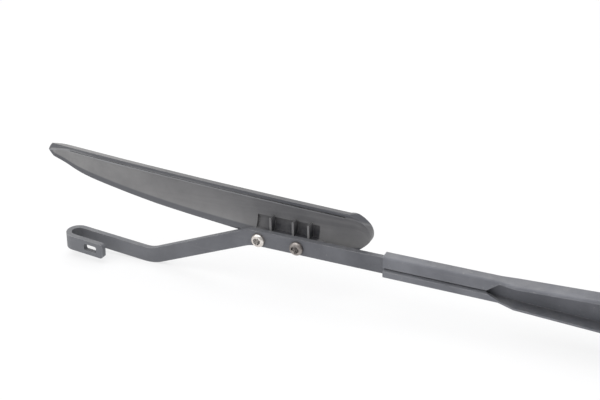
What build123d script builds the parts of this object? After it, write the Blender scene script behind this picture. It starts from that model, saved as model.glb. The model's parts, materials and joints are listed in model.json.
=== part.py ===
from build123d import *
import math
import os

# Windscreen wiper arm lying on its side, millimetres.
# Origin: spindle axis at the mouth of the bore. +X points from the hook to the head,
# +Z is up (the deflector's side), -Y is the glass side. The parts are drawn with the
# straight bar along X, and the whole arm is then turned about the spindle axis until
# the head and the second bend of the bar stand on one level.

# Flat bar
bar_width = 9.0
bar_thick = 3.0
bar_front_y = 17.8             # glass-side face of the bar above the head's underside
first_bend = 291.6             # hinge axis to the corner of the first edgewise bend
joggle_length = 69.0
joggle_turn = 22.5             # degrees
return_turn = 26.6             # degrees
bend_radius = 21.0             # at the bar's centre line

# Hook
hook_straight = 48.0           # second bend's corner to the centre of the hook's round
hook_gap = 7.9
hook_return = 21.6             # straight length of the returned leg
hook_corner = 2.0
hook_slot_length = 8.5
hook_slot_width = 4.2
hook_slot_from_tip = 8.7       # to the slot's centre

# Folded channel
sheet = 1.8
crimp_start = 158.0            # hinge axis to the open end of the crimp
crimp_length = 58.0
crimp_play = 0.02
seam_drop = 1.2                # seam below the bar's centre line
seam_gap = 0.4
seam_flare = 0.9               # roll of the lips along the seam
mouth_length = 7.0             # open funnel at the rear of the crimp, in front of the bar's end
throat_length = 8.0
throat_width = 13.7
throat_depth = 9.2
waist = 108.0                  # hinge axis to the waist, where the channel starts to deepen
waist_width = 17.5
waist_depth = 9.2
hinge_width = 23.5             # outside width of the channel at the hinge
hinge_depth = 17.5
parallel_length = 12.0         # channel with parallel walls in front of the hinge
sheet_corner = 1.7
back_setback = 4.0             # back of the channel ends this far in front of the hinge axis

# Head
hinge_reach = 50.0             # spindle axis to hinge axis
hinge_y = 14.5
boss_radius = 14.5
head_height = 24.0
neck_width_boss = 26.0
neck_gap = 11.5                # hinge axis to the neck's shoulder
neck_underside = 2.0
bore_radius = 4.5
bore_length = 16.0
nut_recess_radius = 10.0
cheek_radius = 5.6
lobe_radius = 4.5
tongue_slot = 6.4

# Cap over the spindle nut
cap_radius = 12.5
cap_thick = 2.0
cap_plug_length = 3.0
cap_wall = 1.4
cap_play = 0.05

# Hinge and spring pins
hinge_pin_radius = 3.0
hinge_head_radius = 5.2
hinge_head_height = 1.6
running_play = 0.04
fixed_play = 0.02
bush_wall = 1.0
washer_radius = 6.0
washer_thick = 0.9
washer_play = 0.45
spring_pin_radius = 2.0
spring_pin_short = 0.2         # each end of the pin inside the cheek's face
rivet_radius = 2.0
rivet_head_radius = 3.4
rivet_head_height = 1.2
rivet_stand_off = 0.15         # head's underside clear of the sloping wall

# Spring and its link
lever = 9.0                    # hinge axis to spring pin
lift_range = 60.0              # degrees of lift that the spring allows
spring_tilt = 5.5              # degrees between spring and bar
spring_reach = 95.0            # spring pin to anchor rivet
link_length = 33.0             # spring pin to the eye of the spring
link_thick = 2.5
link_height = 6.0
link_eye_radius = 4.4
link_eye_play = 0.3
link_hole_radius = 1.35
link_hole_inset = 0.15         # hole's centre from the middle of the spring's wire
link_end_wall = 1.2
wire_radius = 0.9
coil_radius = 3.1              # middle of the wire
eye_sink = 0.35                # eye of the spring let into the last coil
leg_radius = 0.8               # wire between eye and coil

# Wind deflector
rim_gap = 0.3                  # deflector's rim behind the back of the bar
outline_start = 236.0          # hinge axis to the start of the leading edge
outline_end = 418.0
lead_start_z = 23.1            # leading edge above the bar's centre line
lead_end_z = 31.6
lead_sag = 1.5                 # hollow of the leading edge
trail_end_z = -3.0             # hidden end of the trailing edge, behind the bar
dish_start = 236.5             # ends of the dished shell's axis
dish_end = 410.0
dish_start_z = 9.7
dish_end_z = 21.3
dish_half_chord = 13.2
crest_depth = 7.0              # outer crest behind the rim, at the wide end
edge_depth = 2.5               # outer face behind the rim, at the edges
deflector_wall = 2.4
bead_inset = 3.0               # bead along the leading edge
bead_width = 0.9
bead_height = 0.6
pocket_skin = 0.8
pocket_top_z = 10.8
pocket_near = 254.0
pocket_far = 289.8
rib_places = [258.8, 267.6, 280.6]
rib_thick = 1.1
pad_near = 250.0
pad_far = 293.0
pad_bottom_z = -3.9
pad_top_z = 3.6                # and bottom of the pocket
pad_thick = 3.2
pad_corner = 2.0
boss_length = 7.0
deflector_boss_radius = 4.0

# Deflector screws
screw_places = [263.9, 286.2]
screw_drop = 0.6               # screws below the bar's centre line
screw_names = ["deflector_screw_rear", "deflector_screw_front"]
screw_radius = 2.0
screw_head_radius = 3.8
screw_head_height = 2.4
screw_head_round = 1.6
screw_length = 6.0             # shank beyond the back of the bar
cross_width = 1.0
cross_span = 4.2
cross_depth = 1.5
screw_hole_play = 0.1
screw_hole_depth = 0.4         # hole beyond the screw's end

# Derived places
bar_back_y = bar_front_y + bar_thick
bar_middle_y = bar_front_y + bar_thick / 2
channel_back_y = bar_back_y + sheet
crimp_width = bar_width + 2 * sheet
crimp_depth = bar_thick + 2 * sheet
wall_end_radius = channel_back_y - hinge_y
inner_hinge_width = hinge_width - 2 * sheet
tongue_width = inner_hinge_width - 2 * (washer_thick + washer_play)
rim_y = bar_back_y + rim_gap
hook_pitch = hook_gap + bar_thick
big = 60.0


def at(distance):
    return -hinge_reach - distance


def turned(angle):
    return Vector(-math.cos(math.radians(angle)), 0, math.sin(math.radians(angle)))


def block(x0, x1, y0, y1, z0, z1):
    middle = Pos((x0 + x1) / 2, (y0 + y1) / 2, (z0 + z1) / 2)
    return middle * Box(abs(x1 - x0), abs(y1 - y0), abs(z1 - z0))


def rod_z(radius, x, y, z0, z1):
    return Pos(x, y, (z0 + z1) / 2) * Cylinder(radius, abs(z1 - z0))


def rod_y(radius, x, z, y0, y1):
    return Pos(x, (y0 + y1) / 2, z) * Rot(90, 0, 0) * Cylinder(radius, abs(y1 - y0))


def across(distance, sketch):
    plane = Plane(origin=(at(distance), 0, 0), x_dir=(0, 0, 1), z_dir=(-1, 0, 0))
    return plane * sketch


# Spring line: the pin swings by half the lift to each side of the spring's normal,
# so the link moves along the spring almost in step with the lift
pin_angle = math.radians(270 - lift_range / 2 - spring_tilt)
spring_pin_x = -hinge_reach + lever * math.cos(pin_angle)
spring_pin_y = hinge_y + lever * math.sin(pin_angle)
eye_dip = lever * (1 - math.cos(math.radians(lift_range / 2)))
spring_line = Plane(
    origin=(spring_pin_x, spring_pin_y, 0),
    x_dir=(-math.cos(math.radians(spring_tilt)), math.sin(math.radians(spring_tilt)), 0),
    z_dir=(0, 0, -1),
)
anchor = spring_line.from_local_coords(Vector(spring_reach, 0, 0))

# Bends of the bar, and the angle at which the arm lies on its side
joggle_direction = turned(-joggle_turn)
hook_direction = turned(return_turn - joggle_turn)
tail_point = Vector(at(crimp_start + mouth_length), bar_middle_y, 0)
first_corner = Vector(at(first_bend), bar_middle_y, 0)
second_corner = first_corner + joggle_direction * joggle_length
hook_centre = second_corner + hook_direction * hook_straight
inward = (hook_direction - joggle_direction).normalized()
bend_centre = second_corner + inward * (bend_radius / math.cos(math.radians(return_turn / 2)))
bend_distance = math.hypot(bend_centre.X, bend_centre.Z)
rest_height = bend_radius + bar_width / 2 - boss_radius
lay_angle = math.degrees(
    math.asin(rest_height / bend_distance) - math.atan2(bend_centre.Z, -bend_centre.X)
)


def mounting_head():
    boss = rod_y(boss_radius, 0, 0, 0, head_height)
    shoulder_x = at(-neck_gap)
    neck_outline = Polyline(
        (0, -neck_width_boss / 2),
        (0, neck_width_boss / 2),
        (shoulder_x, hinge_width / 2),
        (shoulder_x, -hinge_width / 2),
        close=True,
    )
    neck = extrude(Plane.XZ * make_face(neck_outline), amount=head_height - neck_underside, dir=(0, 1, 0))
    neck = Pos(0, neck_underside, 0) * neck
    hinge_round = Pos(-hinge_reach, hinge_y) * Circle(cheek_radius)
    spring_round = Pos(spring_pin_x, spring_pin_y) * Circle(lobe_radius)
    lower_round = Pos(shoulder_x, spring_pin_y) * Circle(lobe_radius)
    upper_round = Pos(shoulder_x, hinge_y) * Circle(cheek_radius)
    rounds = hinge_round.edges() + spring_round.edges() + lower_round.edges() + upper_round.edges()
    tongue = extrude(make_hull(rounds), amount=tongue_width / 2, both=True)
    slot_end = spring_pin_x + link_eye_radius + eye_dip + 2 * link_eye_play
    slot = block(at(big), max(slot_end, at(-hinge_pin_radius)), -big, big, -tongue_slot / 2, tongue_slot / 2)
    tongue -= slot
    bush_radius = hinge_pin_radius + running_play + bush_wall
    tongue -= rod_z(bush_radius + fixed_play, -hinge_reach, hinge_y, -big, big)
    tongue -= rod_z(spring_pin_radius + fixed_play, spring_pin_x, spring_pin_y, -big, big)
    head = boss + neck + tongue
    head -= rod_y(bore_radius, 0, 0, -1, bore_length + 1)
    head -= rod_y(nut_recess_radius, 0, 0, bore_length, head_height + 1)
    return head


def nut_cap():
    plug_radius = nut_recess_radius - cap_play
    disc = rod_y(cap_radius, 0, 0, head_height, head_height + cap_thick)
    rounded_edges = disc.edges().group_by(Axis.Y)[-1]
    disc = fillet(rounded_edges, cap_thick * 0.7)
    plug = rod_y(plug_radius, 0, 0, head_height - cap_plug_length, head_height + cap_thick / 4)
    hollow = rod_y(plug_radius - cap_wall, 0, 0, head_height - cap_plug_length - 1, head_height)
    return disc + plug - hollow


def hinge_pin():
    shank = rod_z(hinge_pin_radius, -hinge_reach, hinge_y, -hinge_width / 2, hinge_width / 2)
    head = rod_z(hinge_head_radius, -hinge_reach, hinge_y, hinge_width / 2, hinge_width / 2 + hinge_head_height)
    head = fillet(head.edges().group_by(Axis.Z)[-1], hinge_head_height * 0.6)
    return shank + head + mirror(head, Plane.XY)


def hinge_bush(side):
    inner = hinge_pin_radius + running_play
    near = side * tongue_slot / 2
    far = side * tongue_width / 2
    bush = rod_z(inner + bush_wall, -hinge_reach, hinge_y, near, far)
    return bush - rod_z(inner, -hinge_reach, hinge_y, -big, big)


def hinge_washer(side):
    near = side * tongue_width / 2
    washer = rod_z(washer_radius, -hinge_reach, hinge_y, near, near + side * washer_thick)
    return washer - rod_z(hinge_pin_radius + running_play, -hinge_reach, hinge_y, -big, big)


def spring_pin():
    half = tongue_width / 2 - spring_pin_short
    return rod_z(spring_pin_radius, spring_pin_x, spring_pin_y, -half, half)


def anchor_width():
    share = (-hinge_reach - anchor.X - parallel_length) / (waist - parallel_length)
    return hinge_width + (waist_width - hinge_width) * share


def anchor_rivet():
    half = anchor_width() / 2 + rivet_stand_off
    shank = rod_z(rivet_radius, anchor.X, anchor.Y, -half, half)
    head = rod_z(rivet_head_radius, anchor.X, anchor.Y, half, half + rivet_head_height)
    head = fillet(head.edges().group_by(Axis.Z)[-1], rivet_head_height * 0.6)
    return shank + head + mirror(head, Plane.XY)


def channel_arm():
    def outer(distance, width, depth):
        centre = Pos(0, channel_back_y - depth / 2)
        return across(distance, centre * RectangleRounded(width, depth, sheet_corner)).face()

    def inner(distance, width, depth):
        height = depth + sheet
        centre = Pos(0, bar_back_y - height / 2)
        return across(distance, centre * Rectangle(width - 2 * sheet, height)).face()

    throat = crimp_start - throat_length
    stations = [
        (-wall_end_radius, hinge_width, hinge_depth),
        (parallel_length, hinge_width, hinge_depth),
        (waist, waist_width, waist_depth),
        (throat, throat_width, throat_depth),
        (crimp_start, crimp_width, crimp_depth),
    ]
    body = None
    hollow = None
    for here, there in zip(stations, stations[1:]):
        shell = loft([outer(*here), outer(*there)], ruled=True)
        space = loft([inner(*here), inner(*there)], ruled=True)
        body = shell if body is None else body + shell
        hollow = space if hollow is None else hollow + space
    crimp = extrude(outer(crimp_start, crimp_width, crimp_depth), amount=crimp_length, dir=(-1, 0, 0))
    body += crimp
    body -= hollow
    half_bar = bar_width / 2 + crimp_play
    crimp_end = at(crimp_start + crimp_length + 1)
    body -= block(at(crimp_start - 1), crimp_end, bar_front_y - crimp_play, bar_back_y, -half_bar, half_bar)
    # Seam between two rolled lips, opening into a funnel at the rear of the crimp
    crimp_front_y = bar_front_y - sheet
    lip_y = bar_front_y - sheet / 4
    half_gap = seam_gap / 2
    half_flare = half_gap + seam_flare
    seam = Polyline(
        (-seam_drop - half_flare, crimp_front_y - sheet), (-seam_drop - half_flare, crimp_front_y),
        (-seam_drop - half_gap, lip_y), (-seam_drop - half_gap, bar_middle_y),
        (-seam_drop + half_gap, bar_middle_y), (-seam_drop + half_gap, lip_y),
        (-seam_drop + half_flare, crimp_front_y), (-seam_drop + half_flare, crimp_front_y - sheet),
        close=True,
    )
    body -= extrude(across(crimp_start - 1, make_face(seam)), amount=crimp_length + 2, dir=(-1, 0, 0))
    funnel = Polyline(
        (at(crimp_start - 1), half_bar), (at(crimp_start), half_bar),
        (at(crimp_start + mouth_length), -seam_drop),
        (at(crimp_start), -half_bar), (at(crimp_start - 1), -half_bar),
        close=True,
    )
    body -= extrude(Plane.XZ * make_face(funnel), amount=bar_middle_y, dir=(0, 1, 0))
    # Rear ends of the walls are rounded about the hinge, and the back is set back for the lift
    rear = block(at(0), at(-big), -big, big, -big, big)
    rear -= rod_z(wall_end_radius, -hinge_reach, hinge_y, -big, big)
    body -= rear
    half_inside = inner_hinge_width / 2
    body -= block(at(back_setback), at(-big), hinge_y, big, -half_inside, half_inside)
    body -= rod_z(hinge_pin_radius + fixed_play, -hinge_reach, hinge_y, -big, big)
    body -= rod_z(rivet_radius + fixed_play, anchor.X, anchor.Y, -big, big)
    return body


def hook_bar():
    path = FilletPolyline(tail_point, first_corner, second_corner, hook_centre, radius=bend_radius)
    start = Plane(origin=tail_point, x_dir=(0, 1, 0), z_dir=(-1, 0, 0))
    bar = sweep(start * Rectangle(bar_thick, bar_width), path=path)
    round_plane = Plane(origin=hook_centre, x_dir=hook_direction, z_dir=hook_direction.cross(Vector(0, 1, 0)))
    ring_centre = Pos(0, -hook_pitch / 2)
    ring = ring_centre * (Circle(hook_pitch / 2 + bar_thick / 2) - Circle(hook_pitch / 2 - bar_thick / 2))
    ring &= Pos(big / 2, -hook_pitch / 2) * Rectangle(big, big)
    hook = extrude(round_plane * ring, amount=bar_width / 2, both=True)
    flat_plane = Plane(origin=hook_centre, x_dir=hook_direction, z_dir=(0, -1, 0))
    leg = Pos(-hook_return / 2, 0) * Rectangle(hook_return, bar_width)
    leg = fillet(leg.vertices().group_by(Axis.X)[0], hook_corner)
    slot_middle = hook_slot_from_tip - hook_return
    leg -= Pos(slot_middle, 0) * RectangleRounded(hook_slot_length, hook_slot_width, hook_slot_width / 4)
    leg_plane = flat_plane.offset(hook_pitch - bar_thick / 2)
    leg = extrude(leg_plane * leg, amount=bar_thick)
    bar = bar + hook + leg
    for place in screw_places:
        bar -= rod_y(screw_radius + screw_hole_play, at(place), -screw_drop, bar_front_y - 1, bar_back_y + 1)
    return bar


def wind_deflector():
    # Outline seen square to the bar, with its slightly hollow leading edge on top
    def lead(inset):
        near = (at(outline_start), lead_start_z - inset)
        far = (at(outline_end), lead_end_z - inset)
        return SagittaArc(near, far, lead_sag)

    lead_line = lead(0)
    tip = Spline(
        lead_line @ 1,
        (at(outline_end + 5.3), lead_end_z - 1.7),
        (at(outline_end + 3.6), lead_end_z - 5.7),
        (at(outline_end - 2.7), lead_end_z - 11.2),
        (at(outline_end - 13.3), lead_end_z - 15.9),
        (at(outline_end - 29.6), lead_end_z - 19.6),
        (at(outline_end - 62.8), lead_end_z - 24.6),
        (at(outline_end - 110.8), lead_end_z - 29.7),
        (at(outline_start + 26), trail_end_z + 1.2),
        (at(outline_start + 4), trail_end_z),
    )
    end = Spline(
        tip @ 1,
        (at(outline_start - 5.6), lead_start_z - 19.6),
        (at(outline_start - 12.6), lead_start_z - 8.4),
        (at(outline_start - 10.8), lead_start_z - 1.4),
        lead_line @ 0,
    )
    outline = make_face(lead_line + tip + end)
    prism = extrude(Plane.XZ * outline, amount=2 * crest_depth, dir=(0, 1, 0))
    prism = Pos(0, rim_y, 0) * prism

    # Dished shell: a long round whose axis follows the middle of the chord
    rise = crest_depth - edge_depth
    outer_radius = (dish_half_chord ** 2 + rise ** 2) / (2 * rise)
    far_half = lead_end_z - dish_end_z
    start = Vector(at(dish_start), rim_y + crest_depth - outer_radius, dish_start_z)
    end_y = rim_y + edge_depth - math.sqrt(outer_radius ** 2 - far_half ** 2)
    finish = Vector(at(dish_end), end_y, dish_end_z)

    def capsule(radius):
        along = finish - start
        middle = Plane(origin=start, z_dir=along.normalized())
        rod = extrude(middle * Circle(radius), amount=along.length)
        return rod + Pos(start) * Sphere(radius) + Pos(finish) * Sphere(radius)

    skin = capsule(outer_radius)
    inside = capsule(outer_radius - deflector_wall)
    shell = (prism & skin) - inside

    # Bead along the leading edge
    reach = block(
        at(outline_start + bead_inset), at(outline_end - 3 * bead_inset), rim_y, rim_y + big, -big, big,
    )

    def band(inset, width):
        upper = lead(inset)
        lower = lead(inset + width)
        strip = make_face(upper + lower + Line(upper @ 0, lower @ 0) + Line(upper @ 1, lower @ 1))
        return extrude(Plane.XZ * strip, amount=2 * big, dir=(0, 1, 0)) & reach

    bead = band(bead_inset, bead_width) & capsule(outer_radius - deflector_wall / 2)
    shell += bead - capsule(outer_radius - deflector_wall - bead_height)

    # Mounting pad behind the bar, with a pocket and ribs above it
    pocket = block(at(pocket_near), at(pocket_far), rim_y, rim_y + big, pad_top_z, pocket_top_z)
    shell -= pocket & capsule(outer_radius - pocket_skin)
    pad = block(at(pad_near), at(pad_far), bar_back_y, bar_back_y + pad_thick, pad_bottom_z, pad_top_z)
    pad = fillet(pad.edges().filter_by(Axis.Y), pad_corner)
    shell += pad
    for place in rib_places:
        rib = block(
            at(place - rib_thick / 2), at(place + rib_thick / 2), rim_y, rim_y + big,
            pad_top_z, pocket_top_z + 1,
        )
        shell += rib & capsule(outer_radius - pocket_skin / 2)
    for place in screw_places:
        shell += rod_y(deflector_boss_radius, at(place), -screw_drop, bar_back_y, bar_back_y + boss_length)
    for place in screw_places:
        hole_end = bar_back_y + screw_length + screw_hole_depth
        shell -= rod_y(screw_radius + fixed_play, at(place), -screw_drop, bar_back_y - 1, hole_end)
    return shell


def deflector_screw(place):
    shank = rod_y(screw_radius, at(place), -screw_drop, bar_front_y - screw_head_height / 4, bar_back_y + screw_length)
    head = rod_y(screw_head_radius, at(place), -screw_drop, bar_front_y - screw_head_height, bar_front_y)
    head = fillet(head.edges().group_by(Axis.Y)[0], screw_head_round)
    screw = shank + head
    front = bar_front_y - screw_head_height
    for width, height in [(cross_width, cross_span), (cross_span, cross_width)]:
        screw -= block(
            at(place) - width / 2, at(place) + width / 2, front - 1, front + cross_depth,
            -screw_drop - height / 2, -screw_drop + height / 2,
        )
    return screw


def spring_link():
    # Drawn along the spring line: x from the spring pin to the spring, y toward the channel's back
    hole_x = link_length + link_hole_inset
    link_end = hole_x + link_hole_radius + link_end_wall
    strip = Pos(link_end / 2, 0) * Rectangle(link_end, link_height)
    strip = fillet(strip.vertices().group_by(Axis.X)[-1], link_height / 3)
    eye = Circle(link_eye_radius) + Pos(0, -eye_dip) * Circle(link_eye_radius)
    eye += Pos(0, -eye_dip / 2) * Rectangle(2 * link_eye_radius, eye_dip)
    hole_radius = spring_pin_radius + link_eye_play
    hole = Circle(hole_radius) + Pos(0, -eye_dip) * Circle(hole_radius)
    hole += Pos(0, -eye_dip / 2) * Rectangle(2 * hole_radius, eye_dip)
    link = eye + strip - hole - Pos(hole_x, 0) * Circle(link_hole_radius)
    return extrude(spring_side() * link, amount=link_thick / 2, both=True)


def spring_side():
    # Same line as the spring, with y on the side of the channel's back
    return Plane(origin=spring_line.origin, x_dir=spring_line.x_dir, z_dir=spring_line.x_dir.cross(Vector(0, 1, 0)))


def tension_spring():
    near_eye = link_length + coil_radius
    far_eye = spring_reach
    coil_from = near_eye + coil_radius + wire_radius - eye_sink
    coil_to = far_eye - coil_radius - wire_radius + eye_sink
    turns = int((coil_to - coil_from) / (2 * wire_radius))
    step = (coil_to - coil_from) / turns
    lines = []
    for turn in range(turns):
        left = coil_from + turn * step
        crest = (left + step / 2, coil_radius + wire_radius)
        lines.append(ThreePointArc((left, coil_radius), crest, (left + step, coil_radius)))
    lines.append(Polyline(
        (coil_to, coil_radius), (coil_to, coil_radius - wire_radius),
        (coil_from, coil_radius - wire_radius), (coil_from, coil_radius),
    ))
    side = spring_side()
    section = make_face(Curve(children=lines).edges())
    coil = revolve(side * section, Axis(side.origin, side.x_dir))
    link_ring = Plane(origin=side.from_local_coords(Vector(near_eye, 0, 0)), z_dir=side.y_dir)
    rivet_ring = Plane(origin=side.from_local_coords(Vector(far_eye, 0, 0)), z_dir=(0, 0, 1))
    spring = coil + link_ring * Torus(coil_radius, wire_radius) + rivet_ring * Torus(coil_radius, wire_radius)
    link_leg = Vector(near_eye, 0, coil_radius)
    rivet_leg = Vector(coil_to - wire_radius, coil_radius, 0)
    for foot, length in [(link_leg, coil_from + wire_radius - near_eye), (rivet_leg, far_eye - coil_to + wire_radius)]:
        leg = Plane(origin=side.from_local_coords(foot), z_dir=side.x_dir)
        spring += extrude(leg * Circle(leg_radius), amount=length)
    return spring


nodes = {
    "mounting_head": mounting_head(),
    "nut_cap": nut_cap(),
    "hinge_pin": hinge_pin(),
    "hinge_bush_upper": hinge_bush(1),
    "hinge_bush_lower": hinge_bush(-1),
    "hinge_washer_upper": hinge_washer(1),
    "hinge_washer_lower": hinge_washer(-1),
    "spring_pin": spring_pin(),
    "spring_link": spring_link(),
    "tension_spring": tension_spring(),
    "anchor_rivet": anchor_rivet(),
    "channel_arm": channel_arm(),
    "hook_bar": hook_bar(),
    "wind_deflector": wind_deflector(),
}
for name, place in zip(screw_names, screw_places):
    nodes[name] = deflector_screw(place)

os.makedirs("parts", exist_ok=True)
for name, shape in nodes.items():
    export_step(shape.rotate(Axis.Y, lay_angle), f"parts/{name}.step")
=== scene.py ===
import bpy
import json
import math
from mathutils import Matrix, Vector


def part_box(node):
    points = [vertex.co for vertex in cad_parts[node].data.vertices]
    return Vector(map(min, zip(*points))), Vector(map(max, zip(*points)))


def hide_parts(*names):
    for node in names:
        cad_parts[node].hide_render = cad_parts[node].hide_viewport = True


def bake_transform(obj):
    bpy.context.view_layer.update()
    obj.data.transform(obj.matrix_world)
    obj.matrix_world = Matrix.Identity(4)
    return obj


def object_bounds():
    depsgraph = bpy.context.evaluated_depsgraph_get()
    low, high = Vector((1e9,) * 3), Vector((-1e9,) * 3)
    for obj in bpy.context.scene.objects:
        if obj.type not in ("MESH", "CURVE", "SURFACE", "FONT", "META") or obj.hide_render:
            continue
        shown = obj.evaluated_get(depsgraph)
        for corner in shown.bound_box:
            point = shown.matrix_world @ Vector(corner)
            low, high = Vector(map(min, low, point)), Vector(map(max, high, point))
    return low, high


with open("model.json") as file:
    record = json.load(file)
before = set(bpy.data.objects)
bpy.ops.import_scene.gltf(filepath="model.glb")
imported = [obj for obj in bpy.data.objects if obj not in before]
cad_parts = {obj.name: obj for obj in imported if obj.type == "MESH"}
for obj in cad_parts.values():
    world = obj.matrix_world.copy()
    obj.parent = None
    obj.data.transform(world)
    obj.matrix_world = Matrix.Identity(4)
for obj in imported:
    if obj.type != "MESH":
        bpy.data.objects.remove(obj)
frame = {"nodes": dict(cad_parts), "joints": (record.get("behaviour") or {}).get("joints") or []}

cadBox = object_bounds()
nodes = frame["nodes"]
joints = {joint["name"]: joint for joint in frame["joints"]}
bpy.ops.object.select_all(action="DESELECT")
bpy.context.scene.view_settings.view_transform = "Standard"
print("frame loaded:", len(nodes), "nodes")


# the bar's own direction: the arm lies turned about the spindle axis
hingeAxis = joints["arm_lift"]["axis"]
hingePlace = joints["arm_lift"]["pos_m"]
layAngle = math.atan2(-hingeAxis[0], -hingeAxis[2])
hingeReach = math.hypot(hingePlace[0], hingePlace[2])


def onlyActive(piece):
    bpy.ops.object.select_all(action="DESELECT")
    piece.select_set(True)
    bpy.context.view_layer.objects.active = piece


# node helpers for the finishes
def startMaterial(name):
    material = bpy.data.materials.new(name)
    material.use_nodes = True
    shader = material.node_tree.nodes["Principled BSDF"]
    coords = material.node_tree.nodes.new("ShaderNodeTexCoord")
    return material, material.node_tree, shader, coords.outputs["Object"]


def addNoise(tree, coords, form):  # "drawn" pulls the noise out along the arm
    mapping = tree.nodes.new("ShaderNodeMapping")
    if "drawn" in form:
        mapping.inputs["Scale"].default_value = (form["drawn"], 1, 1)
        mapping.inputs["Rotation"].default_value = (0, layAngle, 0)
    tree.links.new(coords, mapping.inputs["Vector"])
    noise = tree.nodes.new("ShaderNodeTexNoise")
    noise.inputs["Scale"].default_value = form["scale"]
    noise.inputs["Detail"].default_value = form["detail"]
    noise.inputs["Roughness"].default_value = form["rough"]
    tree.links.new(mapping.outputs["Vector"], noise.inputs["Vector"])
    return noise.outputs["Fac"]


def addRange(tree, value, low, high, toLow=0.0, toHigh=1.0):
    ranged = tree.nodes.new("ShaderNodeMapRange")
    ranged.inputs["From Min"].default_value = low
    ranged.inputs["From Max"].default_value = high
    ranged.inputs["To Min"].default_value = toLow
    ranged.inputs["To Max"].default_value = toHigh
    tree.links.new(value, ranged.inputs["Value"])
    return ranged.outputs["Result"]


def addPatches(tree, coords, form, share=1.0):  # noise cut to a span and given an amount
    toLow, toHigh = form.get("amount", (0.0, 1.0))
    return addRange(tree, addNoise(tree, coords, form), *form["span"], toLow * share, toHigh * share)


def addMath(tree, operation, first, second):
    step = tree.nodes.new("ShaderNodeMath")
    step.operation = operation
    for socket, value in zip(step.inputs, (first, second)):
        if isinstance(value, (int, float)):
            socket.default_value = value
        else:
            tree.links.new(value, socket)
    return step.outputs["Value"]


def addProduct(tree, first, *others):
    for value in others:
        first = addMath(tree, "MULTIPLY", first, value)
    return first


def addMix(tree, factor, first, second):
    mix = tree.nodes.new("ShaderNodeMix")
    mix.data_type = "RGBA"
    tree.links.new(factor, mix.inputs["Factor"])
    for socket, value in ((mix.inputs[6], first), (mix.inputs[7], second)):
        if isinstance(value, tuple):
            socket.default_value = (*value, 1.0)
        else:
            tree.links.new(value, socket)
    return mix.outputs[2]


def addGrain(tree, shader, coords, form):
    bump = tree.nodes.new("ShaderNodeBump")
    bump.inputs["Strength"].default_value = form["strength"]
    bump.inputs["Distance"].default_value = form["depth"]
    tree.links.new(addNoise(tree, coords, form), bump.inputs["Height"])
    tree.links.new(bump.outputs["Normal"], shader.inputs["Normal"])


def addFacing(tree, axis):  # how far the surface faces along an axis of the piece's own frame
    coords = tree.nodes.new("ShaderNodeTexCoord")
    split = tree.nodes.new("ShaderNodeSeparateXYZ")
    tree.links.new(coords.outputs["Normal"], split.inputs["Vector"])
    return split.outputs[axis]


edgeLook = {
    "samples": 4,
    "span": (0.985, 0.86),     # cosine between the rounded and the flat normal: none, full
}


def addEdge(tree, radius):  # 1 on sharp edges, 0 on flats
    bevel = tree.nodes.new("ShaderNodeBevel")
    bevel.samples = edgeLook["samples"]
    bevel.inputs["Radius"].default_value = radius
    flat = tree.nodes.new("ShaderNodeNewGeometry")
    dot = tree.nodes.new("ShaderNodeVectorMath")
    dot.operation = "DOT_PRODUCT"
    tree.links.new(bevel.outputs["Normal"], dot.inputs[0])
    tree.links.new(flat.outputs["True Normal"], dot.inputs[1])
    return addRange(tree, dot.outputs["Value"], *edgeLook["span"])


def addCurve(tree, value, points):  # a smooth line through a few points, both axes from 0 to 1
    curve = tree.nodes.new("ShaderNodeFloatCurve")
    line = curve.mapping.curves[0]
    for place, height in points[1:-1]:
        line.points.new(place, height)
    line.points[0].location = points[0]
    line.points[-1].location = points[-1]
    curve.mapping.update()
    tree.links.new(value, curve.inputs["Value"])
    return curve.outputs["Value"]


def splitPlace(tree, coords):
    split = tree.nodes.new("ShaderNodeSeparateXYZ")
    tree.links.new(coords, split.inputs["Vector"])
    return split.outputs["X"], split.outputs["Y"], split.outputs["Z"]


def finishSurface(tree, shader, coords, colour, look):
    tree.links.new(colour, shader.inputs["Base Color"])
    tree.links.new(addPatches(tree, coords, look["gloss"]), shader.inputs["Roughness"])
    shader.inputs["Specular IOR Level"].default_value = look["shine"]
    addGrain(tree, shader, coords, look["grain"])


# faded black paint on steel: patches, rubbed streaks along the arm, painted top light on up-facing faces,
# chips and fine orange peel
paintLook = {
    "dark": (0.098, 0.101, 0.114),
    "pale": (0.146, 0.150, 0.166),
    "chip": (0.27, 0.265, 0.26),
    # pale colour for the rubbed streaks, and for the painted top light on up-facing faces
    "dustAndTopLight": (0.27, 0.265, 0.262),
    "worn": (0.36, 0.36, 0.37),
    "patches": {"scale": 42, "detail": 6, "rough": 0.6, "span": (0.35, 0.68)},
    "streaks": {"scale": 240, "detail": 5, "rough": 0.6, "drawn": 0.06, "span": (0.58, 0.8),
                "amount": (0.0, 0.35)},
    "topLightFacing": (0.75, 1.0, 0.0, 0.35),
    "topLightPatches": {"scale": 160, "detail": 5, "rough": 0.65, "span": (0.35, 0.7)},
    "chips": {"scale": 780, "detail": 3, "rough": 0.5, "span": (0.69, 0.73), "amount": (0.0, 0.8)},
    "wornEdge": 0.0007,
    "rubbed": {"scale": 210, "detail": 5, "rough": 0.65, "span": (0.38, 0.66), "amount": (0.0, 0.75)},
    "gloss": {"scale": 120, "detail": 5, "rough": 0.5, "span": (0.3, 0.7), "amount": (0.40, 0.58)},
    "grain": {"scale": 1500, "detail": 4, "rough": 0.6, "strength": 0.22, "depth": 0.0004},
    "shine": 0.45,
}


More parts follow.
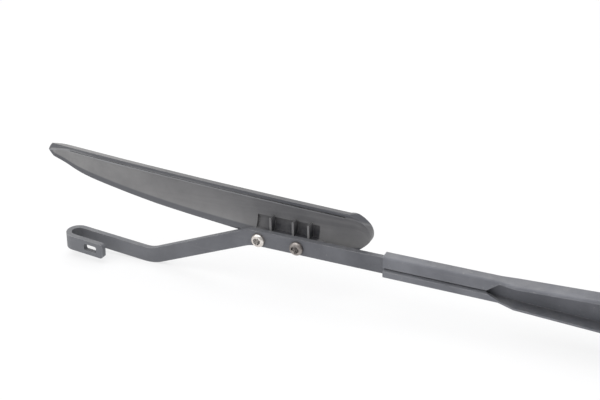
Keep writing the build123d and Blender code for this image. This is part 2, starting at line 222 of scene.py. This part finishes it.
def fadedPaint(name, lift=1.0, chips=1.0, fadeTo=None):
    look = paintLook
    material, tree, shader, coords = startMaterial(name)
    dark = tuple(c * lift for c in look["dark"])
    pale = tuple(c * lift for c in look["pale"])
    colour = addMix(tree, addPatches(tree, coords, look["patches"]), dark, pale)
    if fadeTo:
        along, _, _ = splitPlace(tree, coords)
        faded = addRange(tree, along, fadeTo["from"], fadeTo["to"], 0.0, fadeTo["most"])
        colour = addMix(tree, faded, colour, fadeTo["colour"])
    colour = addMix(tree, addPatches(tree, coords, look["streaks"]), colour, look["dustAndTopLight"])
    # painted top light: faces turned up are paler, broken up in patches
    facingUpLit = addRange(tree, addFacing(tree, "Z"), *look["topLightFacing"])
    paintedTopLight = addProduct(tree, facingUpLit, addPatches(tree, coords, look["topLightPatches"]))
    colour = addMix(tree, paintedTopLight, colour, look["dustAndTopLight"])
    colour = addMix(tree, addPatches(tree, coords, look["chips"], chips), colour, look["chip"])
    rubbed = addPatches(tree, coords, look["rubbed"])
    worn = addProduct(tree, addEdge(tree, look["wornEdge"]), rubbed)
    colour = addMix(tree, worn, colour, look["worn"])
    finishSurface(tree, shader, coords, colour, look)
    return material


# weathered black moulding, for the cap and as the ground of the deflector
plasticLook = {
    "dark": (0.100, 0.100, 0.106),
    "pale": (0.150, 0.149, 0.154),
    "faded": (0.300, 0.296, 0.294),
    "patches": {"scale": 30, "detail": 7, "rough": 0.62, "span": (0.32, 0.7)},
    "wiped": {"scale": 190, "detail": 6, "rough": 0.65, "drawn": 0.05, "span": (0.55, 0.8),
              "amount": (0.0, 0.22)},
    "gloss": {"scale": 95, "detail": 5, "rough": 0.5, "span": (0.3, 0.7), "amount": (0.44, 0.64)},
    "grain": {"scale": 2600, "detail": 3, "rough": 0.6, "strength": 0.18, "depth": 0.0003},
    "shine": 0.4,
}


def weatheredPlastic(name):
    look = plasticLook
    material, tree, shader, coords = startMaterial(name)
    colour = addMix(tree, addPatches(tree, coords, look["patches"]), look["dark"], look["pale"])
    colour = addMix(tree, addPatches(tree, coords, look["wiped"]), colour, look["faded"])
    finishSurface(tree, shader, coords, colour, look)
    return material


# the deflector's outline and marks in the bar's own frame: metres from the hinge and above the bar's middle
deflectorLook = {
    "near": 0.223,
    "far": 0.4235,
    "height": 0.04,            # lead and trail are shares of near to far, and of this height
    "lead": ((0.0, 0.577), (0.065, 0.577), (0.20, 0.590), (0.50, 0.660), (0.80, 0.735), (0.97, 0.790),
             (1.0, 0.745)),
    "trail": ((0.0, 0.38), (0.06, 0.0), (0.20, 0.0), (0.42, 0.06), (0.66, 0.175), (0.82, 0.295),
              (0.91, 0.395), (0.96, 0.51), (0.99, 0.65), (1.0, 0.745)),
    "blotches": {"scale": 70, "detail": 6, "rough": 0.6, "span": (0.25, 0.62), "amount": (0.55, 1.0)},
    "tipFade": (0.30, 0.95, 0.0, 0.85),
    # painted light low in the dish, near the trailing edge
    "lowDishLight": (0.013, 0.003, 0.0, 0.55),
    "wiped": {"scale": 190, "detail": 6, "rough": 0.65, "drawn": 0.05, "span": (0.52, 0.8),
              "amount": (0.0, 0.3)},
    # painted shade on the front faces of both edges' rims: its colour, width, blur, strength and facing
    "rim": (0.092, 0.095, 0.108),
    "rimWidth": 0.0027,
    "rimBlurLow": 0.12,        # shares of the rim's width
    "rimBlurTop": 0.1,
    "rimMost": 0.85,
    "front": (0.35, 0.75),
    # painted highlight along the ridge's top, partly worn plastic too
    "ridgeHighlight": (0.285, 0.290, 0.305),
    "ridgeRise": (0.0030, 0.0033),
    "ridgeFall": (0.0043, 0.0039),
    "ridgeFade": (0.12, 0.5, 0.25, 0.85),
    # painted shade in the pocket behind the bar: its colour, the pocket's bounds and its patches
    "grime": (0.034, 0.034, 0.042),
    "pocketNear": (0.2538, 0.2550),
    "pocketFar": (0.2900, 0.2800),
    "pocketTop": (0.0110, 0.0065),
    "pocketLow": (0.0020, 0.0030),
    "pocketFloor": (0.0216, 0.0219),
    "pocketShadePatches": {"scale": 330, "detail": 5, "rough": 0.6, "span": (0.2, 0.6), "amount": (0.55, 0.9)},
    "wornEdge": 0.0006,
    "rubbed": {"scale": 160, "detail": 5, "rough": 0.65, "span": (0.35, 0.65), "amount": (0.0, 0.6)},
}


def deflectorPlastic(name):
    look = deflectorLook
    faded = plasticLook["faded"]
    material, tree, shader, coords = startMaterial(name)
    mapping = tree.nodes.new("ShaderNodeMapping")
    mapping.inputs["Rotation"].default_value = (0, -layAngle, 0)
    tree.links.new(coords, mapping.inputs["Vector"])
    x, y, z = splitPlace(tree, mapping.outputs["Vector"])
    distance = addMath(tree, "SUBTRACT", addProduct(tree, x, -1.0), hingeReach)
    share = addRange(tree, distance, look["near"], look["far"])
    lead = addProduct(tree, addCurve(tree, share, look["lead"]), look["height"])
    trail = addProduct(tree, addCurve(tree, share, look["trail"]), look["height"])
    fromLead = addMath(tree, "SUBTRACT", lead, z)
    fromTrail = addMath(tree, "SUBTRACT", z, trail)
    patches = addPatches(tree, coords, plasticLook["patches"])
    colour = addMix(tree, patches, plasticLook["dark"], plasticLook["pale"])
    # paler toward the tip where the plastic has faded, and painted light low in the dish, where it faces up
    tipFade = addRange(tree, share, *look["tipFade"])
    lowDishLight = addRange(tree, fromTrail, *look["lowDishLight"])
    blotches = addPatches(tree, coords, look["blotches"])
    fadeAndDishLight = addProduct(tree, addMath(tree, "MAXIMUM", tipFade, lowDishLight), blotches)
    colour = addMix(tree, fadeAndDishLight, colour, faded)
    colour = addMix(tree, addPatches(tree, coords, look["wiped"]), colour, faded)
    # painted shade on the front faces along both edges, and the ridge inside the leading one
    width = look["rimWidth"]
    blurLow = width * look["rimBlurLow"]
    blurTop = width * look["rimBlurTop"]
    rimLow = addRange(tree, fromTrail, width + blurLow, width - blurLow)
    rimTop = addRange(tree, fromLead, width + blurTop, width - blurTop)
    front = addRange(tree, addProduct(tree, addFacing(tree, "Y"), -1.0), *look["front"])
    rim = addProduct(tree, addMath(tree, "MAXIMUM", rimLow, rimTop), front, look["rimMost"])
    colour = addMix(tree, rim, colour, look["rim"])
    # painted highlight on the ridge's upper side, fading along the deflector
    rising = addRange(tree, fromLead, *look["ridgeRise"])
    falling = addRange(tree, fromLead, *look["ridgeFall"])
    ridgeHighlight = addProduct(tree, rising, falling, addRange(tree, share, *look["ridgeFade"]))
    colour = addMix(tree, ridgeHighlight, colour, look["ridgeHighlight"])
    # painted shade on the floor of the pocket, not on the ribs
    grime = addProduct(
        tree,
        addRange(tree, distance, *look["pocketNear"]),
        addRange(tree, distance, *look["pocketFar"]),
        addRange(tree, z, *look["pocketTop"]),
        addRange(tree, z, *look["pocketLow"]),
        addRange(tree, y, *look["pocketFloor"]),
        addPatches(tree, coords, look["pocketShadePatches"]))
    colour = addMix(tree, grime, colour, look["grime"])
    rubbed = addPatches(tree, coords, look["rubbed"])
    worn = addProduct(tree, addEdge(tree, look["wornEdge"]), rubbed)
    colour = addMix(tree, worn, colour, faded)
    finishSurface(tree, shader, coords, colour, plasticLook)
    return material


# bare and plated metal, with tarnish where told, and the washers' nylon
metalLook = {
    "patches": {"scale": 420, "detail": 6, "rough": 0.6, "span": (0.3, 0.7)},
    "tarnish": {"scale": 900, "detail": 6, "rough": 0.65, "span": (0.5, 0.72)},
    "tarnishMetal": 0.35,      # how metallic full tarnish still is
    "gloss": {"scale": 1300, "detail": 4, "rough": 0.5, "span": (0.3, 0.7), "amount": (0.8, 1.25)},
    "grain": {"scale": 3000, "detail": 3, "rough": 0.6, "strength": 0.12, "depth": 0.0002},
}
rivetSteel = {"bright": (0.34, 0.34, 0.35), "dull": (0.17, 0.17, 0.175), "roughness": 0.38,
              "tarnish": (0.13, 0.07, 0.04), "amount": 0.5}
pinSteel = {"bright": (0.45, 0.45, 0.46), "dull": (0.25, 0.25, 0.26), "roughness": 0.3}
bushBronze = {"bright": (0.55, 0.40, 0.22), "dull": (0.36, 0.25, 0.13), "roughness": 0.4}
washerNylon = {"bright": (0.72, 0.71, 0.66), "dull": (0.55, 0.53, 0.48), "roughness": 0.5, "metallic": 0.0}
brightScrew = {"bright": (0.84, 0.81, 0.78), "dull": (0.62, 0.57, 0.53), "roughness": 0.22,
               "tarnish": (0.24, 0.11, 0.06), "amount": 0.6}
tarnishedScrew = {"bright": (0.42, 0.39, 0.37), "dull": (0.24, 0.22, 0.21), "roughness": 0.42,
                  "tarnish": (0.16, 0.11, 0.085), "amount": 0.5}
springWire = {"bright": (0.24, 0.24, 0.25), "dull": (0.11, 0.11, 0.115), "roughness": 0.36,
              "tarnish": (0.12, 0.07, 0.045), "amount": 0.45}


def plainMetal(name, metal):
    look = metalLook
    metallic = metal.get("metallic", 1.0)
    material, tree, shader, coords = startMaterial(name)
    colour = addMix(tree, addPatches(tree, coords, look["patches"]), metal["dull"], metal["bright"])
    if "tarnish" in metal:
        tarnished = addPatches(tree, coords, look["tarnish"], metal["amount"])
        colour = addMix(tree, tarnished, colour, metal["tarnish"])
        bare = addRange(tree, tarnished, 0.0, 1.0, metallic, metallic * look["tarnishMetal"])
        tree.links.new(bare, shader.inputs["Metallic"])
    else:
        shader.inputs["Metallic"].default_value = metallic
    tree.links.new(colour, shader.inputs["Base Color"])
    gloss = addPatches(tree, coords, look["gloss"], metal["roughness"])
    tree.links.new(gloss, shader.inputs["Roughness"])
    addGrain(tree, shader, coords, look["grain"])
    return material


# the bar's paint pales toward the hook; from and to are places along the frame's x
hookFade = {"from": -0.36, "to": -0.46, "most": 0.5, "colour": (0.205, 0.210, 0.222)}
finishes = {
    "hook_bar": fadedPaint("bar paint", 1.0, 0.8, hookFade),
    "channel_arm": fadedPaint("channel paint", 1.28, 1.0),
    "mounting_head": fadedPaint("head paint", 0.85, 0.6),
    "spring_link": fadedPaint("link finish", 0.6, 0.3),
    "wind_deflector": deflectorPlastic("deflector moulding"),
    "nut_cap": weatheredPlastic("cap moulding"),
    "hinge_pin": plainMetal("rivet steel", rivetSteel),
    "anchor_rivet": plainMetal("anchor steel", rivetSteel),
    "spring_pin": plainMetal("pin steel", pinSteel),
    "hinge_bush_upper": plainMetal("bush bronze", bushBronze),
    "hinge_bush_lower": plainMetal("bush bronze low", bushBronze),
    "hinge_washer_upper": plainMetal("washer nylon", washerNylon),
    "hinge_washer_lower": plainMetal("washer nylon low", washerNylon),
    "deflector_screw_front": plainMetal("bright screw", brightScrew),
    "deflector_screw_rear": plainMetal("tarnished screw", tarnishedScrew),
}
for name, material in finishes.items():
    node = nodes[name]
    node.data.materials.clear()
    node.data.materials.append(material)
print("finishes set:", len(finishes))


# rounded edges on the solids, so that they catch the light
edgeRound = {
    "hook_bar": 0.00045,
    "channel_arm": 0.0003,
    "mounting_head": 0.0008,
    "wind_deflector": 0.0004,
    "deflector_screw_front": 0.0002,
    "deflector_screw_rear": 0.0002,
    "spring_link": 0.0003,
}
edgeForm = {
    "merge": 0.000004,
    "flatDegrees": 0.6,
    "sharpDegrees": 32,
    "segments": 2,
}
for name, width in edgeRound.items():
    node = nodes[name]
    for polygon in node.data.polygons:
        polygon.use_smooth = True
    weld = node.modifiers.new("weld", "WELD")
    weld.merge_threshold = edgeForm["merge"]
    flat = node.modifiers.new("flats", "DECIMATE")
    flat.decimate_type = "DISSOLVE"
    flat.angle_limit = math.radians(edgeForm["flatDegrees"])
    soft = node.modifiers.new("edges", "BEVEL")
    soft.width = width
    soft.segments = edgeForm["segments"]
    soft.limit_method = "ANGLE"
    soft.angle_limit = math.radians(edgeForm["sharpDegrees"])
    soft.use_clamp_overlap = True
    even = node.modifiers.new("even", "WEIGHTED_NORMAL")
    even.keep_sharp = False
print("edges rounded:", len(edgeRound))


# tension spring: a true coil with an eye at each end, along the line from the spring pin to the rivet
springForm = {
    "wire": 0.0009,
    "coil": 0.0031,
    "linkLength": 0.033,
    "sink": 0.00035,
    "stepsPerTurn": 20,
    "stepsPerEye": 28,
    "wireSides": 10,
    "legShare": 0.97,          # the straight legs' radius as a share of the wire's
    "smoothDegrees": 50,
}


def middleOf(name):
    low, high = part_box(name)
    return (low + high) / 2


pinPoint = middleOf("spring_pin")
rivetPoint = middleOf("anchor_rivet")
springLine = (rivetPoint - pinPoint).normalized()
springAcross = Vector((-hingeAxis[0], -hingeAxis[1], -hingeAxis[2])).normalized()
springSide = springAcross.cross(springLine)
springReach = (rivetPoint - pinPoint).length


def makeSpring():
    wire, coil, sides = springForm["wire"], springForm["coil"], springForm["wireSides"]
    nearEye = springForm["linkLength"] + coil
    coilFrom = nearEye + coil + wire - springForm["sink"]
    coilTo = springReach - coil - wire + springForm["sink"]
    turns = int((coilTo - coilFrom) / (2 * wire))
    bpy.ops.mesh.primitive_circle_add(vertices=sides, radius=wire, location=(coil, 0, 0))
    spring = bpy.context.object
    spring.name = "springCoil"
    bpy.ops.object.mode_set(mode="EDIT")
    bpy.ops.mesh.select_all(action="SELECT")
    bpy.ops.transform.rotate(value=math.pi / 2, orient_axis="X", center_override=(coil, 0, 0))
    bpy.ops.object.mode_set(mode="OBJECT")
    bpy.ops.object.transform_apply(location=True, rotation=True, scale=True)
    winding = spring.modifiers.new("winding", "SCREW")
    winding.angle = 2 * math.pi
    winding.screw_offset = (coilTo - coilFrom - 2 * wire) / turns
    winding.iterations = turns
    winding.steps = springForm["stepsPerTurn"]
    winding.render_steps = springForm["stepsPerTurn"]
    winding.use_merge_vertices = False
    bpy.ops.object.modifier_apply(modifier="winding")
    bpy.ops.object.mode_set(mode="EDIT")
    bpy.ops.mesh.select_all(action="SELECT")
    bpy.ops.mesh.region_to_loop()
    bpy.ops.mesh.fill()
    bpy.ops.mesh.select_all(action="SELECT")
    bpy.ops.transform.translate(value=(0, 0, coilFrom + wire))
    bpy.ops.object.mode_set(mode="OBJECT")
    parts = [spring]
    quarter = math.pi / 2
    for centre, turn in ((nearEye, (quarter, 0, 0)), (springReach, (0, quarter, 0))):
        bpy.ops.mesh.primitive_torus_add(
            major_radius=coil, minor_radius=wire, major_segments=springForm["stepsPerEye"],
            minor_segments=sides, location=(0, 0, centre), rotation=turn)
        parts.append(bpy.context.object)
    # straight legs from each eye to the end of the wire
    legs = (
        (coil, 0, nearEye, coilFrom + 2 * wire),
        (0, coil, coilTo - 2 * wire, springReach),
    )
    for across, side, low, high in legs:
        bpy.ops.mesh.primitive_cylinder_add(
            vertices=sides, radius=wire * springForm["legShare"], depth=high - low,
            location=(across, side, (low + high) / 2))
        parts.append(bpy.context.object)
    bpy.ops.object.select_all(action="DESELECT")
    for part in parts:
        part.select_set(True)
    bpy.context.view_layer.objects.active = spring
    bpy.ops.object.join()
    onlyActive(spring)
    bpy.ops.object.transform_apply(location=True, rotation=True, scale=True)
    turnTo = Matrix((springAcross, springSide, springLine)).transposed().to_4x4()
    spring.matrix_world = Matrix.Translation(pinPoint) @ turnTo
    bpy.ops.object.transform_apply(location=True, rotation=True, scale=True)
    bpy.ops.object.mode_set(mode="EDIT")
    bpy.ops.mesh.select_all(action="SELECT")
    bpy.ops.mesh.normals_make_consistent(inside=False)
    bpy.ops.object.mode_set(mode="OBJECT")
    bpy.ops.object.shade_smooth_by_angle(angle=math.radians(springForm["smoothDegrees"]))
    spring.data.materials.clear()
    spring.data.materials.append(plainMetal("spring wire", springWire))
    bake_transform(spring)
    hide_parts("tension_spring")
    return turns


print("spring turns:", makeSpring())


# floor, light and camera; a lamp's x is from the arm's middle
stageForm = {
    "floorSize": 6.0,
    "floorColour": (0.86, 0.86, 0.87),
    "floorGlow": 0.72,         # share of plain white that the camera sees on the floor
    "worldStrength": 0.55,
    "softbox": {"place": (-0.25, 0.15, 1.5), "size": 2.2, "energy": 26.0},
    "fill": {"place": (-0.9, -0.9, 0.7), "size": 1.2, "energy": 4.0},
}


def floorMaterial():
    material = bpy.data.materials.new("pale floor")
    material.use_nodes = True
    tree = material.node_tree
    tree.nodes.clear()
    out = tree.nodes.new("ShaderNodeOutputMaterial")
    lit = tree.nodes.new("ShaderNodeBsdfDiffuse")
    lit.inputs["Color"].default_value = (*stageForm["floorColour"], 1)
    glow = tree.nodes.new("ShaderNodeEmission")
    glow.inputs["Strength"].default_value = 1.0
    path = tree.nodes.new("ShaderNodeLightPath")
    seen = addMath(tree, "MAXIMUM", path.outputs["Is Camera Ray"], path.outputs["Is Glossy Ray"])
    share = addMath(tree, "MULTIPLY", seen, stageForm["floorGlow"])
    mix = tree.nodes.new("ShaderNodeMixShader")
    tree.links.new(share, mix.inputs[0])
    tree.links.new(lit.outputs[0], mix.inputs[1])
    tree.links.new(glow.outputs[0], mix.inputs[2])
    tree.links.new(mix.outputs[0], out.inputs["Surface"])
    return material


def makeStage():
    low, high = cadBox
    middle = (Vector(low) + Vector(high)) / 2
    floorPlace = (middle.x, middle.y, low[2])
    bpy.ops.mesh.primitive_plane_add(size=stageForm["floorSize"], location=floorPlace)
    floor = bpy.context.object
    floor.name = "floor"
    floor.data.materials.append(floorMaterial())
    world = bpy.data.worlds.new("soft room")
    bpy.context.scene.world = world
    world.use_nodes = True
    sky = world.node_tree.nodes["Background"]
    sky.inputs["Color"].default_value = (1.0, 1.0, 1.0, 1)
    sky.inputs["Strength"].default_value = stageForm["worldStrength"]
    for name in ("softbox", "fill"):
        form = stageForm[name]
        place = Vector((middle.x, 0, 0)) + Vector(form["place"])
        bpy.ops.object.light_add(type="AREA", location=place)
        lamp = bpy.context.object
        lamp.name = name
        lamp.data.size = form["size"]
        lamp.data.energy = form["energy"]
        lamp.rotation_euler = (middle - place).to_track_quat("-Z", "Y").to_euler()


photoView = {
    "target": (-0.31024, 0.0178, 0.03991),
    "azimuth": 26.38,
    "elevation": 25.34,
    "distance": 0.453,
    "roll": 3.15,
    "focal": 900.0,            # in pixels of a picture 600 wide
    "width": 600.0,
    "sensor": 36.0,
    "nearest": 0.01,
}


def makeCamera():
    azimuth, elevation, roll = (math.radians(photoView[key]) for key in ("azimuth", "elevation", "roll"))
    level = math.cos(elevation)
    back = Vector((math.sin(azimuth) * level, -math.cos(azimuth) * level, math.sin(elevation)))
    right = Vector((0, 0, 1)).cross(back).normalized()
    up = back.cross(right)
    rolledRight = right * math.cos(roll) - up * math.sin(roll)
    rolledUp = right * math.sin(roll) + up * math.cos(roll)
    turn = Matrix((rolledRight, rolledUp, back)).transposed().to_4x4()
    lens = bpy.data.cameras.new("photo view")
    lens.sensor_width = photoView["sensor"]
    lens.lens = photoView["focal"] / photoView["width"] * lens.sensor_width
    lens.clip_start = photoView["nearest"]
    camera = bpy.data.objects.new("photo view", lens)
    bpy.context.scene.collection.objects.link(camera)
    place = Vector(photoView["target"]) + back * photoView["distance"]
    camera.matrix_world = Matrix.Translation(place) @ turn
    bpy.context.scene.camera = camera


makeStage()
makeCamera()
print("stage and camera set")
